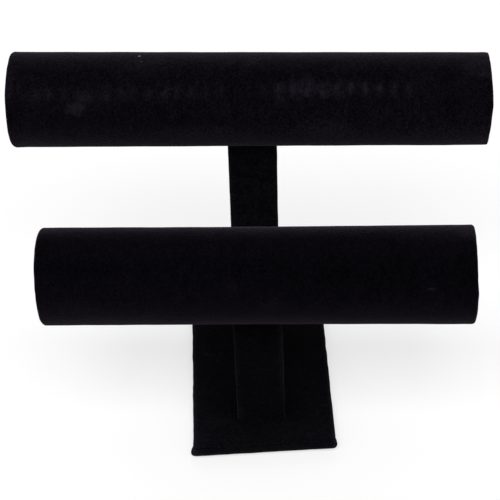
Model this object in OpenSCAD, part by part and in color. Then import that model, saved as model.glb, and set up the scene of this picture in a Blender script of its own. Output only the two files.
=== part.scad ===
// Two-tier bracelet display stand: velvet drawn over two card tubes, two wooden posts and a base board.
// X runs along the bars, Y from the front to the back and Z up.
// The origin is on the floor, under the middle of the base.

/* [Base] */
// Width of the bare base board
board_w = 90; // [76:1:130]
// Depth of the bare base board
board_d = 150; // [130:1:200]
// Thickness of the base board
board_t = 6; // [4:0.5:12]
// Thickness of the felt liner under the base
liner_t = 1; // [0.5:0.1:2]
// Distance of the liner's edge from the covered edge of the base
liner_inset = 4; // [2:0.5:10]
// Corner radius of the liner
liner_corner_r = 3; // [1:0.5:8]
// Width of the velvet hem turned under the board
hem_w = 14; // [8:1:25]
// Radius of the tuck of spare cloth at each corner of the base
tuck_r = 1.7; // [1.2:0.1:2.5]

/* [Posts] */
// Width of the bare post
post_core_w = 29.2; // [24:0.2:40]
// Depth of the bare post
post_core_d = 12.7; // [10:0.1:20]
// Front face of the front post behind the front edge of the base
front_setback = 23; // [15:0.5:40]
// Back face of the rear post in front of the back edge of the base
rear_margin = 12.3; // [6:0.1:30]
// Sideways place of the front post on the base
front_post_x = -1; // [-10:0.5:10]
// Sideways place of the rear post on the base
rear_post_x = 1; // [-10:0.5:10]
// Corner radius of the covered post
post_corner_r = 1.3; // [0.5:0.1:3]
// Width of the lap where the post's cover closes at the back
post_lap_w = 9; // [5:0.5:14]

/* [Bars] */
// Outer diameter of the bare card tube
tube_d = 58; // [50:0.5:66]
// Wall of the card tube
tube_wall = 2.5; // [1.5:0.1:4]
// Length of the covered lower bar
lower_bar_l = 266; // [200:1:330]
// Length of the covered upper bar
upper_bar_l = 304.8; // [220:0.1:360]
// Height of the lower bar's axis above the base
lower_bar_h = 115; // [95:1:150]
// Height of the upper bar's axis above the base
upper_bar_h = 178; // [160:1:240]
// Sideways place of the lower bar's middle on its post
lower_bar_shift = 0.8; // [-3:0.1:3]
// Sideways place of the upper bar's middle on its post
upper_bar_shift = -0.3; // [-3:0.1:3]
// Turn of the lower bar on its post, seen from above
lower_bar_turn = -3.9; // [-6:0.1:6]
// Turn of the upper bar on its post, seen from above
upper_bar_turn = -4.8; // [-6:0.1:6]
// Width of the lap where the bar's cover closes at the back
bar_lap_w = 10; // [6:0.5:16]
// Place of that lap round the bar, from straight down towards the back
bar_lap_angle = 62; // [45:1:130]

/* [Velvet and glue] */
// Thickness of the velvet with its pile
velvet_t = 0.9; // [0.6:0.1:1.4]
// Glue between the velvet and a curved surface
glue_gap = 0.1; // [0.05:0.05:0.2]
// Radius of the velvet over the edges of the base
base_edge_r = 1.6; // [1:0.1:2]

/* [Bar ends] */
// Length of velvet turned into each end of the tube
turn_in = 11; // [8:0.5:20]
// Thickness of the end disc
disc_t = 3; // [2:0.5:4]
// Depth of the covered disc behind the end of the bar
disc_recess = 1; // [0.5:0.1:2]
// Width of the velvet turned onto the back of the disc
disc_hem_w = 8; // [5:0.5:14]

/* [Screws] */
// Thread diameter of the screws
screw_d = 3.5; // [3:0.1:4.5]
// Distance between the two screws of a joint
screw_pitch = 16; // [13:0.5:19]
// Length of the screws through the base board
base_screw_l = 30; // [20:1:40]
// Length of the screws through the tubes
bar_screw_l = 25; // [15:1:35]
// Head diameter of the countersunk screws
countersunk_head_d = 7.5; // [6:0.1:9]
// Head diameter of the pan head screws
pan_head_d = 7.2; // [6:0.1:8]
// Head height of the pan head screws
pan_head_h = 2.4; // [1.8:0.1:3]
// Outer diameter of the washers
washer_d = 10; // [8.5:0.5:12]
// Thickness of the washers
washer_t = 1; // [0.6:0.1:1.6]
// Hole in the top of the tube that lets the screwdriver in
driver_hole_d = 9.5; // [8.5:0.5:12]
// Clearance round a screw in its hole
screw_gap = 0.05; // [0.02:0.01:0.2]

/* [Hidden] */
$fn = 72;
overcut = 2;
tip_r = 0.3;
tip_share = 2;
recess_arm_w = 1;
recess_depth = 1.4;
washer_gap = 0.25;

// Covered sizes
base_w = board_w + 2 * velvet_t;
base_d = board_d + 2 * velvet_t;
hem_top = liner_t + velvet_t;
board_top = hem_top + board_t;
base_top = board_top + velvet_t;
cover_h = base_top - liner_t;
post_w = post_core_w + 2 * velvet_t;
post_d = post_core_d + 2 * velvet_t;
tube_r = tube_d / 2;
bore_r = tube_r - tube_wall;
bar_r = tube_r + glue_gap + velvet_t;
lap_angle = bar_lap_w / bar_r * 180 / PI;

// Places of the posts and the bars
front_post_y = front_setback + (post_d - base_d) / 2;
rear_post_y = (base_d - post_d) / 2 - rear_margin;
lower_axis_z = base_top + lower_bar_h;
upper_axis_z = base_top + upper_bar_h;
seat_r = bar_r + glue_gap;

// The velvet goes round the end of the tube in one fold
fold_r = (tube_wall + 2 * (velvet_t + glue_gap)) / 2;
turned_r = bar_r - 2 * fold_r;
plug_r = turned_r - glue_gap;
disc_r = plug_r - velvet_t;
plug_l = disc_t + 2 * velvet_t;

// Screws
screw_r = screw_d / 2;
hole_r = screw_r + screw_gap;
tip_l = tip_share * screw_d;
countersunk_h = countersunk_head_d / 2 - screw_r;
washer_seat_z = -sqrt(pow(bore_r, 2) - pow(washer_d / 2, 2));
bar_head_z = washer_seat_z + washer_t;

// Places: each post stands on the base, and each bar lies across its own post
module at_front_post() { translate([front_post_x, front_post_y, 0]) children(); }
module at_rear_post() { translate([rear_post_x, rear_post_y, 0]) children(); }
module at_lower_bar() {
    at_front_post() translate([lower_bar_shift, 0, lower_axis_z]) rotate([0, 0, lower_bar_turn]) children();
}
module at_upper_bar() {
    at_rear_post() translate([upper_bar_shift, 0, upper_axis_z]) rotate([0, 0, upper_bar_turn]) children();
}
module at_screws() {
    for (side = [-1, 1]) translate([side * screw_pitch / 2, 0, 0]) children();
}
module along_bar() { rotate([0, 90, 0]) children(); }
module at_right_end(bar_l) { translate([bar_l / 2, 0, 0]) children(); }
module at_left_end(bar_l) { mirror([1, 0, 0]) at_right_end(bar_l) children(); }

// A rectangle about the origin with round corners
module rounded_rectangle(w, d, r) {
    square([w - 2 * r, d], center = true);
    square([w, d - 2 * r], center = true);
    for (x = [-1, 1], y = [-1, 1]) translate([x * (w / 2 - r), y * (d / 2 - r)]) circle(r = r);
}

// Wood screws, point down, with the underside of the head's rim at the origin
module screw_shank(length, r) {
    translate([0, 0, tip_l - length]) cylinder(r = r, h = length - tip_l);
    translate([0, 0, -length]) cylinder(r1 = tip_r, r2 = r, h = tip_l);
}
module cross_recess() {
    for (turn = [0, 90]) rotate([0, 0, turn])
        translate([-screw_r, -recess_arm_w / 2, -recess_depth])
            cube([screw_d, recess_arm_w, recess_depth + overcut]);
}
module pan_head_screw(length) {
    edge_r = pan_head_h / 2;
    difference() {
        union() {
            screw_shank(length, screw_r);
            cylinder(r = pan_head_d / 2, h = pan_head_h - edge_r);
            rotate_extrude() intersection() {
                union() {
                    square([pan_head_d / 2 - edge_r, pan_head_h]);
                    translate([pan_head_d / 2 - edge_r, pan_head_h - edge_r]) circle(r = edge_r);
                }
                square([pan_head_d, pan_head_h]);
            }
        }
        translate([0, 0, pan_head_h]) cross_recess();
    }
}
// Countersunk screw, with its flat head at the origin; gap widens it into its own hole
module countersunk_body(length, gap) {
    screw_shank(length, screw_r + gap);
    translate([0, 0, -countersunk_h])
        cylinder(r1 = screw_r + gap, r2 = countersunk_head_d / 2 + gap, h = countersunk_h);
}
module countersunk_screw(length) {
    difference() {
        countersunk_body(length, 0);
        cross_recess();
    }
}
// The base screws go up through the board, and the bar screws down through the tube
module at_base_screws() { translate([0, 0, hem_top]) mirror([0, 0, 1]) at_screws() children(); }
module at_bar_screws() { translate([0, 0, bar_head_z]) at_screws() children(); }

// Base
module base_liner() {
    color("#1d1c20") linear_extrude(liner_t)
        rounded_rectangle(base_w - 2 * liner_inset, base_d - 2 * liner_inset, liner_corner_r);
}
module base_board_blank() {
    translate([-board_w / 2, -board_d / 2, hem_top]) cube([board_w, board_d, board_t]);
}
module base_board() {
    color("#8a6f52") difference() {
        base_board_blank();
        at_front_post() at_base_screws() countersunk_body(base_screw_l, screw_gap);
        at_rear_post() at_base_screws() countersunk_body(base_screw_l, screw_gap);
    }
}
// One sheet of velvet over the top and the four edges, with a hem under the board
module base_wrap_outside() {
    middle_z = liner_t + cover_h / 2;
    intersection() {
        linear_extrude(2 * base_top) rounded_rectangle(base_w, base_d, base_edge_r);
        translate([0, 0, middle_z]) rotate([90, 0, 0]) linear_extrude(2 * base_d, center = true)
            rounded_rectangle(base_w, cover_h, base_edge_r);
        translate([0, 0, middle_z]) rotate([90, 0, 90]) linear_extrude(2 * base_w, center = true)
            rounded_rectangle(base_d, cover_h, base_edge_r);
    }
}
module corner_tucks() {
    for (x = [-1, 1], y = [-1, 1])
        translate([x * (base_w / 2 - velvet_t / 2), y * (base_d / 2 - tuck_r), liner_t])
            cylinder(r = tuck_r, h = cover_h - velvet_t);
}
module base_cover() {
    color("#131216") difference() {
        union() {
            base_wrap_outside();
            corner_tucks();
        }
        base_board_blank();
        translate([hem_w - board_w / 2, hem_w - board_d / 2, -overcut])
            cube([board_w - 2 * hem_w, board_d - 2 * hem_w, hem_top + 2 * overcut]);
        at_front_post() at_base_screws() screw_shank(base_screw_l, hole_r);
        at_rear_post() at_base_screws() screw_shank(base_screw_l, hole_r);
    }
}

// Posts: the foot is flat on the base and the top is scooped out to the bar
module bar_seat() { along_bar() cylinder(r = seat_r, h = 2 * (post_w + post_d), center = true); }
module bar_screw_pilots() { at_bar_screws() screw_shank(bar_screw_l, hole_r); }
module post_core(axis_z) {
    translate([-post_core_w / 2, -post_core_d / 2, base_top])
        cube([post_core_w, post_core_d, axis_z - base_top]);
}
module post_sleeve(axis_z) {
    translate([0, 0, base_top]) linear_extrude(axis_z - base_top) difference() {
        union() {
            rounded_rectangle(post_w, post_d, post_corner_r);
            translate([-post_lap_w / 2, 0]) square([post_lap_w, post_d / 2 + velvet_t]);
        }
        square([post_core_w, post_core_d], center = true);
    }
}
module front_post() {
    color("#a98b66") difference() {
        at_front_post() post_core(lower_axis_z);
        at_lower_bar() bar_seat();
        at_lower_bar() bar_screw_pilots();
        at_front_post() at_base_screws() screw_shank(base_screw_l, hole_r);
    }
}
module rear_post() {
    color("#a98b66") difference() {
        at_rear_post() post_core(upper_axis_z);
        at_upper_bar() bar_seat();
        at_upper_bar() bar_screw_pilots();
        at_rear_post() at_base_screws() screw_shank(base_screw_l, hole_r);
    }
}
module front_post_cover() {
    color("#131216") difference() {
        at_front_post() post_sleeve(lower_axis_z);
        at_lower_bar() bar_seat();
    }
}
module rear_post_cover() {
    color("#131216") difference() {
        at_rear_post() post_sleeve(upper_axis_z);
        at_upper_bar() bar_seat();
    }
}
module front_post_screws() {
    color("silver") at_front_post() at_base_screws() countersunk_screw(base_screw_l);
}
module rear_post_screws() {
    color("silver") at_rear_post() at_base_screws() countersunk_screw(base_screw_l);
}

// Bars: a card tube, the velvet round it, and a covered disc plugged into each end
module card_tube(bar_l) {
    difference() {
        along_bar() cylinder(r = tube_r, h = bar_l - 2 * (velvet_t + glue_gap), center = true);
        along_bar() cylinder(r = bore_r, h = bar_l, center = true);
        bar_screw_pilots();
        at_screws() cylinder(r = driver_hole_d / 2, h = tube_r + overcut);
    }
}
// Section of the wrapped cover from the axis out: the tube's pocket lies between the two layers
module cover_section(bar_l) {
    fold_y = bar_l / 2 - fold_r;
    pocket_y = bar_l / 2 - velvet_t;
    open_y = bar_l / 2 - turn_in;
    difference() {
        union() {
            translate([turned_r, -fold_y]) square([2 * fold_r, 2 * fold_y]);
            for (side = [-1, 1]) translate([bar_r - fold_r, side * fold_y]) circle(r = fold_r);
        }
        translate([bore_r - glue_gap, -pocket_y]) square([tube_wall + 2 * glue_gap, 2 * pocket_y]);
        translate([turned_r - overcut, -open_y]) square([overcut + tube_wall, 2 * open_y]);
    }
}
module bar_lap(bar_l) {
    lap_l = bar_l - 2 * (fold_r + velvet_t);
    rotate([0, 0, bar_lap_angle - lap_angle / 2]) rotate_extrude(angle = lap_angle)
        translate([bar_r - velvet_t / 2, -lap_l / 2]) square([velvet_t, lap_l]);
}
module tube_cover(bar_l) {
    difference() {
        along_bar() {
            rotate_extrude() cover_section(bar_l);
            bar_lap(bar_l);
        }
        bar_screw_pilots();
    }
}
module washer() {
    difference() {
        cylinder(r = washer_d / 2, h = washer_t);
        translate([0, 0, -overcut]) cylinder(r = screw_r + washer_gap, h = washer_t + 2 * overcut);
    }
}
module bar_washers() { translate([0, 0, washer_seat_z]) at_screws() washer(); }

// Bar ends, drawn for the end at the origin with the bar behind it
module end_disc() {
    translate([-disc_recess - velvet_t, 0, 0]) rotate([0, -90, 0]) cylinder(r = disc_r, h = disc_t);
}
module end_disc_cover() {
    translate([-disc_recess, 0, 0]) rotate([0, -90, 0]) rotate_extrude() difference() {
        union() {
            translate([0, velvet_t]) square([plug_r, plug_l - velvet_t]);
            square([plug_r - velvet_t, velvet_t]);
            translate([plug_r - velvet_t, velvet_t]) circle(r = velvet_t);
        }
        translate([-overcut, velvet_t]) square([disc_r + overcut, disc_t]);
        translate([-overcut, velvet_t]) square([disc_r - disc_hem_w + overcut, plug_l]);
    }
}

module lower_tube() { color("#b49a78") at_lower_bar() card_tube(lower_bar_l); }
module lower_tube_cover() { color("#131216") at_lower_bar() tube_cover(lower_bar_l); }
module lower_bar_screws() { color("silver") at_lower_bar() at_bar_screws() pan_head_screw(bar_screw_l); }
module lower_bar_washers() { color("silver") at_lower_bar() bar_washers(); }
module at_lower_left() { at_lower_bar() at_left_end(lower_bar_l) children(); }
module at_lower_right() { at_lower_bar() at_right_end(lower_bar_l) children(); }
module lower_left_disc() { color("#b49a78") at_lower_left() end_disc(); }
module lower_left_disc_cover() { color("#131216") at_lower_left() end_disc_cover(); }
module lower_right_disc() { color("#b49a78") at_lower_right() end_disc(); }
module lower_right_disc_cover() { color("#131216") at_lower_right() end_disc_cover(); }

module upper_tube() { color("#b49a78") at_upper_bar() card_tube(upper_bar_l); }
module upper_tube_cover() { color("#131216") at_upper_bar() tube_cover(upper_bar_l); }
module upper_bar_screws() { color("silver") at_upper_bar() at_bar_screws() pan_head_screw(bar_screw_l); }
module upper_bar_washers() { color("silver") at_upper_bar() bar_washers(); }
module at_upper_left() { at_upper_bar() at_left_end(upper_bar_l) children(); }
module at_upper_right() { at_upper_bar() at_right_end(upper_bar_l) children(); }
module upper_left_disc() { color("#b49a78") at_upper_left() end_disc(); }
module upper_left_disc_cover() { color("#131216") at_upper_left() end_disc_cover(); }
module upper_right_disc() { color("#b49a78") at_upper_right() end_disc(); }
module upper_right_disc_cover() { color("#131216") at_upper_right() end_disc_cover(); }

base_liner();
base_cover();
base_board();
front_post();
front_post_cover();
front_post_screws();
rear_post();
rear_post_cover();
rear_post_screws();
lower_tube();
lower_tube_cover();
lower_bar_screws();
lower_bar_washers();
lower_left_disc();
lower_left_disc_cover();
lower_right_disc();
lower_right_disc_cover();
upper_tube();
upper_tube_cover();
upper_bar_screws();
upper_bar_washers();
upper_left_disc();
upper_left_disc_cover();
upper_right_disc();
upper_right_disc_cover();
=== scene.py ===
"""Bracelet display stand: its velvet, felt, board, wood, card and screws, lit on a pale floor."""

import math
from functools import partialmethod

import bmesh
import bpy
import numpy as np
from mathutils import Matrix, Vector, noise


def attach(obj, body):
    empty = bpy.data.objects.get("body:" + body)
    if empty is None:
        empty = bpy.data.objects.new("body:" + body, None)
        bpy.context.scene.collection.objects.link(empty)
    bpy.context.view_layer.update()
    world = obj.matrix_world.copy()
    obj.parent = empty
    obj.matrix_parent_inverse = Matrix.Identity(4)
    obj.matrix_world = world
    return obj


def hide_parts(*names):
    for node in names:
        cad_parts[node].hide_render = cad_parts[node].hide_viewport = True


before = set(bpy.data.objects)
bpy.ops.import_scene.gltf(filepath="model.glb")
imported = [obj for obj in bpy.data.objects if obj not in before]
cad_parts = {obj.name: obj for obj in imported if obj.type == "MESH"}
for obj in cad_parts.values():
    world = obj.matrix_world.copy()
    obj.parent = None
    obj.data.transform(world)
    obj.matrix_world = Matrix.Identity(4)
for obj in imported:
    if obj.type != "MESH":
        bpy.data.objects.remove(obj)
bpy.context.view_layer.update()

# Sizes in mm, as the stand is built. X runs along the bars, Y to the back and Z up from the table.
MM = 0.001
VELVET = 0.9
# The back of the cloth lies this far off what it is glued to
GLUE = 0.05
BOARD = {"half_w": 45.0, "half_d": 75.0, "bottom": 1.9, "top": 7.9}
COVERED = {"half_w": 45.9, "half_d": 75.9, "bottom": 1.0, "top": 8.8, "edge": 1.6}
# How far the base's velvet reaches in under the board
HEM = 14.9
LINER = {"half_w": 41.9, "half_d": 71.9, "thick": 1.0, "corner": 3.0, "rounding": 0.3}
CORE = {"half_w": 14.6, "half_d": 6.35}
SLEEVE = {"half_w": 15.5, "half_d": 7.25, "lap": 9.0}
# Puff is how far a sleeve stands off its post at the sides, drift how far it leans right per mm of height,
# and worn how much lighter its left and right corners are, from worn pile and painted sheen.
POSTS = {
    "front": {"x": -1.0, "y": -45.65, "corner": 1.2, "puff": 0.0, "drift": 0.0, "worn": (0.14, 0.36)},
    "rear": {"x": 1.0, "y": 56.35, "corner": 2.2, "puff": 0.5, "drift": 0.0115, "worn": (0.14, 0.18)},
}
TUBE = {"outer": 29.0, "bore": 26.5}
BAR_R = 30.0
# The velvet's radius where it is turned into a tube, and how far in it reaches
TURNED_R = 25.5
TURN_IN = 11.0
# A bar's lap lies round its angle from straight down to the back. Its upper layer rises between two places
# that are counted on from its start, and its cut edge is counted from the top to the front.
LAP = {"width": 10.0, "angle": 62.0, "rise": (355.5, 359.6), "cut_edge": -108.5}
# Pulls are the faint radial creases in a disc's velvet outside a radius, and gathers the folds behind it
DISC = {
    "outer": 25.4, "recess": 1.0, "depth": 4.8, "card": 24.5, "hem": 8.9, "edge": 1.3, "crown": 0.35,
    "pulls": 19, "pull": 0.05, "pulls_from": 14, "gathers": 12, "gather": 0.35, "gather_reach": 5,
}
# Shoulder is how far the velvet's round rim reaches along the bar and swell how much the pile adds to
# the radius, each at the left and right end. Rim is how far the cloth at each end strays to the right of
# a square cut, by the degrees round the end from a point that lies RIM_START behind its top, and
# RIM_REACH how far along the bar it does so.
RIM_START = 38
RIM_REACH = 14
BARS = {
    "lower": {
        "x": -0.2, "y": -45.65, "z": 123.8, "turn": -3.9, "length": 266.0, "post": "front",
        "shoulder": (1.9, 1.9), "swell": (0.35, 0.4),
        "rim": (
            {0: -0.4, 45: -0.38, 90: 0.12, 135: 0.7, 180: 0.75, 225: 0.3, 270: 0.0, 315: -0.3},
            {0: -0.1, 45: -0.2, 98: -0.1, 114: 0.55, 128: 0.3, 180: 0.2, 225: 0.1, 270: 0.0, 315: 0.0},
        ),
    },
    "upper": {
        "x": 0.7, "y": 56.35, "z": 186.8, "turn": -4.8, "length": 304.8, "post": "rear",
        "shoulder": (1.8, 2.6), "swell": (0.75, -0.65),
        "rim": (
            {0: -0.4, 20: -0.3, 45: 0.55, 90: 0.45, 120: 0.65, 150: 0.2, 180: 0.0, 225: -0.2, 270: -0.3,
             315: -0.4},
            {0: -1.1, 20: -0.8, 45: -0.1, 90: 0.85, 105: 1.1, 135: 0.2, 165: -0.9, 180: -1.0, 225: -0.5,
             270: -0.4, 315: -0.7},
        ),
    },
}


# Materials
class Shade:
    """One value in a finish. Arithmetic on it adds the Math nodes that work it out."""

    def __init__(self, finish, socket):
        self.finish = finish
        self.socket = socket

    def math(self, operation, *others):
        return self.finish.add("ShaderNodeMath", {"operation": operation}, dict(enumerate((self, *others))))

    __add__ = __radd__ = partialmethod(math, "ADD")
    __sub__ = partialmethod(math, "SUBTRACT")
    __mul__ = __rmul__ = partialmethod(math, "MULTIPLY")
    __truediv__ = partialmethod(math, "DIVIDE")
    __neg__ = partialmethod(math, "MULTIPLY", -1.0)
    size = partialmethod(math, "ABSOLUTE")
    most = partialmethod(math, "MAXIMUM")
    least = partialmethod(math, "MINIMUM")
    angle_to = partialmethod(math, "ARCTAN2")
    cosine = partialmethod(math, "COSINE")
    root = partialmethod(math, "SQRT")
    part = partialmethod(math, "FRACT")

    def __rsub__(self, other):
        return self.finish.add("ShaderNodeMath", {"operation": "SUBTRACT"}, {0: other, 1: self})

    def held(self):
        """The value kept between 0 and 1."""
        return self.most(0.0).least(1.0)

    def ramp(self, start, end):
        """0 before start and 1 past end, soft between them."""
        sockets = {"Value": self, "From Min": start, "From Max": end}
        return self.finish.add("ShaderNodeMapRange", {"interpolation_type": "SMOOTHSTEP"}, sockets)

    def near(self, middle, reach):
        """1 at the middle, falling softly to 0 at the reach on either side."""
        return 1.0 - (self - middle).size().ramp(0.0, reach)


class Finish:
    """A material that is put together node by node."""

    def __init__(self, name, holder=None):
        self.material = holder or bpy.data.materials.new(name)
        self.material.use_nodes = True
        self.tree = self.material.node_tree
        self.tree.nodes.clear()

    def add(self, kind, settings=None, sockets=None, out=0):
        node = self.tree.nodes.new(kind)
        for name, value in (settings or {}).items():
            setattr(node, name, value)
        for name, value in (sockets or {}).items():
            if isinstance(value, Shade):
                self.tree.links.new(value.socket, node.inputs[name])
            else:
                node.inputs[name].default_value = value
        return Shade(self, node.outputs[out]) if node.outputs else None

    def spot(self):
        """The point on the stand, in mm."""
        at = self.add("ShaderNodeTexCoord", out="Object")
        return self.add("ShaderNodeVectorMath", {"operation": "SCALE"}, {"Vector": at, "Scale": 1 / MM})

    def place(self):
        at = self.spot()
        return [self.add("ShaderNodeSeparateXYZ", sockets={0: at}, out=axis) for axis in "XYZ"]

    def grain(self, size, detail=2.0, rough=0.5, warp=0.0, stretch=(1.0, 1.0, 1.0), shift=0.0, at=None):
        """Irregular grain from 0 to 1, with features of that size in mm, drawn out along an axis by a stretch
        below 1."""
        sockets = {0: at or self.spot(), 1: tuple(s / size for s in stretch), 2: (shift, shift, shift)}
        at = self.add("ShaderNodeVectorMath", {"operation": "MULTIPLY_ADD"}, sockets)
        sockets = {"Vector": at, "Scale": 1.0, "Detail": detail, "Roughness": rough, "Distortion": warp}
        return self.add("ShaderNodeTexNoise", {"noise_dimensions": "3D"}, sockets)

    def blend(self, mask, first, second):
        """The first colour where the mask is 0 and the second where it is 1. The node has its colours in
        sockets 6 and 7 and its result in output 2."""
        settings = {"data_type": "RGBA", "blend_type": "MIX"}
        colours = [c if isinstance(c, Shade) else (*c, 1.0) for c in (first, second)]
        return self.add("ShaderNodeMix", settings, {0: mask, 6: colours[0], 7: colours[1]}, out=2)

    def bump(self, height, depth, strength=1.0, under=None):
        sockets = {"Height": height, "Distance": depth * MM, "Strength": strength}
        if under:
            sockets["Normal"] = under
        return self.add("ShaderNodeBump", sockets=sockets)

    def surface(self, **sockets):
        """Ends the finish with its shader; words in the socket names are joined by underscores."""
        named = {name.replace("_", " "): value for name, value in sockets.items()}
        return self.show(self.add("ShaderNodeBsdfPrincipled", sockets=named))

    def show(self, shader, end="ShaderNodeOutputMaterial"):
        self.add(end, sockets={"Surface": shader})
        return self.material


# Colours deep in the pile, where it has been brushed up and in the sheen of its tips, and how patchy its
# tufts are: the bars have a purple cast, and the base and posts a bluer one
PURPLE = {
    "deep": (0.0002, 0.00015, 0.0003), "brushed": (0.0092, 0.0077, 0.0122), "sheen": (0.87, 0.68, 1.0),
    "tufts": 2.8,
}
BLUE = {
    "deep": (0.0002, 0.00018, 0.0003), "brushed": (0.0089, 0.0080, 0.0113), "sheen": (0.85, 0.76, 1.0),
    "tufts": 5.0,
}
# Pale colour of lint in the pile, and of the base's painted sheen at its hem and side edges
LINT_AND_SHEEN = (0.30, 0.29, 0.31)
# How light the nap of each velvet lies on the whole, how much its tips vary and how strong its sheen is.
# The levels between pieces are partly painted light and shade: the upper bar and rear post are painted
# lighter and the front post darker
NAPS_AND_LIGHT = {
    "base": (0.105, 2.3, 0.040),
    "front_post": (0.075, 1.7, 0.042),
    "rear_post": (0.22, 2.6, 0.042),
    "lower_bar": (0.13, 0.8, 0.08),
    "upper_bar": (0.22, 1.45, 0.076),
    "end": (0.14, 1.2, 0.08),
}
# How much brushing varies the nap, and the share of it that is left where it is darkest
BRUSHING, DARKEST = 1.2, 0.05
# Crushed pile, and the painted light, sheen and shade of the marks, lightens by this much with the height
# of its tips, less the second number
CRUSHED = (2.4, 0.2)
# Depth in mm and strength of the relief that the tips and the tufts give
TIP_RELIEF, TUFT_RELIEF = (0.6, 0.9), (0.6, 0.5)
# On a bar the grain is cut at a slant, so that no lattice shows in it, and it is drawn out round the bar
SLANT, DRAWN_OUT = (0.31, 0.23), 0.6


def velvet(place, dye, marks=None, bar=None):
    """Black velvet: a mottled nap that lightens where it has been brushed or crushed, and where its marks
    paint light, sheen and shade. On a bar its grain runs round with the cloth."""
    pile = Finish(place + "_velvet")
    # Each piece's nap level also carries painted light and shade
    nap, speckle, sheen = NAPS_AND_LIGHT[place]
    at = round_bar(pile, bar, LAP["cut_edge"] + 180)[2] if bar else None
    tips = pile.grain(size=0.95, rough=0.8, at=at)
    tufts = pile.grain(size=3.6, detail=3.0, rough=0.65, warp=0.4, at=at)
    strokes = pile.grain(size=17.0, rough=0.5, warp=0.6, at=at)
    # Each piece's marks: crushed pile with painted light, sheen and shade, and a pale tint for lint and for
    # painted sheen
    crush_and_light, lint_and_sheen = marks(pile) if marks else (0.0, 0.0)
    lie = 1.0 + (tufts - 0.5) * dye["tufts"] + (strokes - 0.5) * BRUSHING
    mottle = (lie * nap + (tips - 0.5) * speckle).most(DARKEST * nap)
    lightness = (mottle + (tips * CRUSHED[0] - CRUSHED[1]) * crush_and_light).held()
    colour = pile.blend(lint_and_sheen, pile.blend(lightness, dye["deep"], dye["brushed"]), LINT_AND_SHEEN)
    fine = pile.bump(tips, *TIP_RELIEF)
    relief = pile.bump(tufts + strokes, *TUFT_RELIEF, under=fine)
    return pile.surface(
        Base_Color=colour, Roughness=1.0 - lightness * 0.12, Normal=relief, IOR=1.4, Specular_IOR_Level=0.02,
        Sheen_Weight=sheen, Sheen_Roughness=0.42, Sheen_Tint=(*dye["sheen"], 1.0),
    )


def round_bar(pile, bar, zero=0.0):
    """Place along the bar and round it in mm, from that many degrees in front of the top towards the front,
    and both as a spot on the cloth. The count round the bar jumps opposite its zero."""
    x, y, z = pile.place()
    turn, zero = math.radians(bar["turn"]), math.radians(zero)
    dx, dy, up = x - bar["x"], y - bar["y"], z - bar["z"]
    along = dx * math.cos(turn) + dy * math.sin(turn)
    front = dx * math.sin(turn) - dy * math.cos(turn)
    sideways = front * math.cos(zero) - up * math.sin(zero)
    upwards = up * math.cos(zero) + front * math.sin(zero)
    around = sideways.angle_to(upwards) * BAR_R
    radius = (front * front + up * up).root()
    slant = radius + along * SLANT[0] + around * SLANT[1]
    spot = pile.add("ShaderNodeCombineXYZ", sockets={0: along, 1: around * DRAWN_OUT, 2: slant})
    return along, around, spot


def arc(degrees):
    """Degrees round a bar as mm on its cloth."""
    return math.radians(degrees) * BAR_R


def patch(along, around, middle, reach):
    """A soft oval mark on the cloth, by its middle and its reach each way."""
    across = (along - middle[0]) / reach[0]
    down = (around - middle[1]) / reach[1]
    return 1.0 - (across * across + down * down).ramp(0.0, 1.0)


def near_round(around, at):
    """1 at a place round a bar in degrees, falling softly to 0 at the reach in mm."""
    return around.near(arc(at[0]), at[1])


def bar_patch(along, around, x, degrees, reach, reach_round, lighter):
    return patch(along, around, (x, arc(degrees)), (reach, reach_round)) * lighter


# Rubbed or crushed places of each bar: place along the bar, degrees from the top towards the front, reach
# along the bar and round it in mm, and how much lighter the pile is there. Those at the ends of a bar, over
# its rim, are painted sheen.
UPPER_RUBBED_AND_SHEEN = (
    (-107.9, 68.5, 8, 5.5, 0.60), (-102.3, 57.5, 6, 7, 0.20), (-96, 56, 26, 12, 0.12),
    (-49.9, 48.5, 3.6, 4, 0.40), (37.6, 32, 6, 5.5, 0.18), (22.2, 59, 5, 5.5, 0.18),
    (1.5, 5.5, 8, 6, 0.12), (-11, 7, 6, 5, 0.08), (-135, 46, 20, 9, 0.06),
    (50, 98, 21, 11, 0.27), (-30, 105, 38, 10, 0.22), (-62, 12, 24, 9, 0.10),
    (143, 14, 13, 10, 0.26), (149, 27, 7, 3, 0.30), (146.5, 96, 6, 1.2, 0.25),
    (146, 116, 8, 4, 0.30), (-150, 40, 4.5, 18, 0.26),
)
LOWER_RUBBED_AND_SHEEN = (
    (10.2, 87.4, 10, 6, 0.13), (28.6, 110, 5, 3.5, 0.12), (-80.7, 61, 17, 7, 0.06),
    (-13.5, 64, 5, 3.5, 0.10), (-112, 88, 20, 8, 0.10), (-126, -16, 12, 6, 0.14),
    (110, 0, 34, 9, 0.10), (132, -7, 13, 11, 0.32), (72, 99, 24, 7, 0.07),
)
# How ragged the edges of those places are: the size of the rags, and their reach along the bar and round it
RAGGED = {"size": 3.4, "along": 9.0, "round": 6.0}
# Bits caught in the pile, as above, and a hair across the upper bar by its slope against the bar
LINT_BITS = ((-68.8, -7.0, 1.2, 0.6, 0.9), (-66.7, 5.7, 0.8, 0.9, 0.08))
THREAD = (105.2, 67.5, 3.6, 0.9, 0.016)
HAIR = {"at": -37.9, "slope": 0.34, "half_width": 0.3, "round": 26.0, "half_length": 4.4, "lighter": 0.03}
# The upper bar was packed against something ribbed, which pressed a row of strokes into its pile. The row
# lies at its degrees from the top, lower on the left, and wanders along the bar and round it. A share of it
# and of the haze round it is left where the pile has risen, and the rest is added where it is worn.
STROKES = {"pitch": 9.0, "first": 11.1, "round": 46.0, "lower_left": 6.0, "tall": 7.0, "wander": (1.6, 6.0)}
RISEN = {"strokes": (0.65, 0.5), "haze": (0.4, 0.85)}
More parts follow.
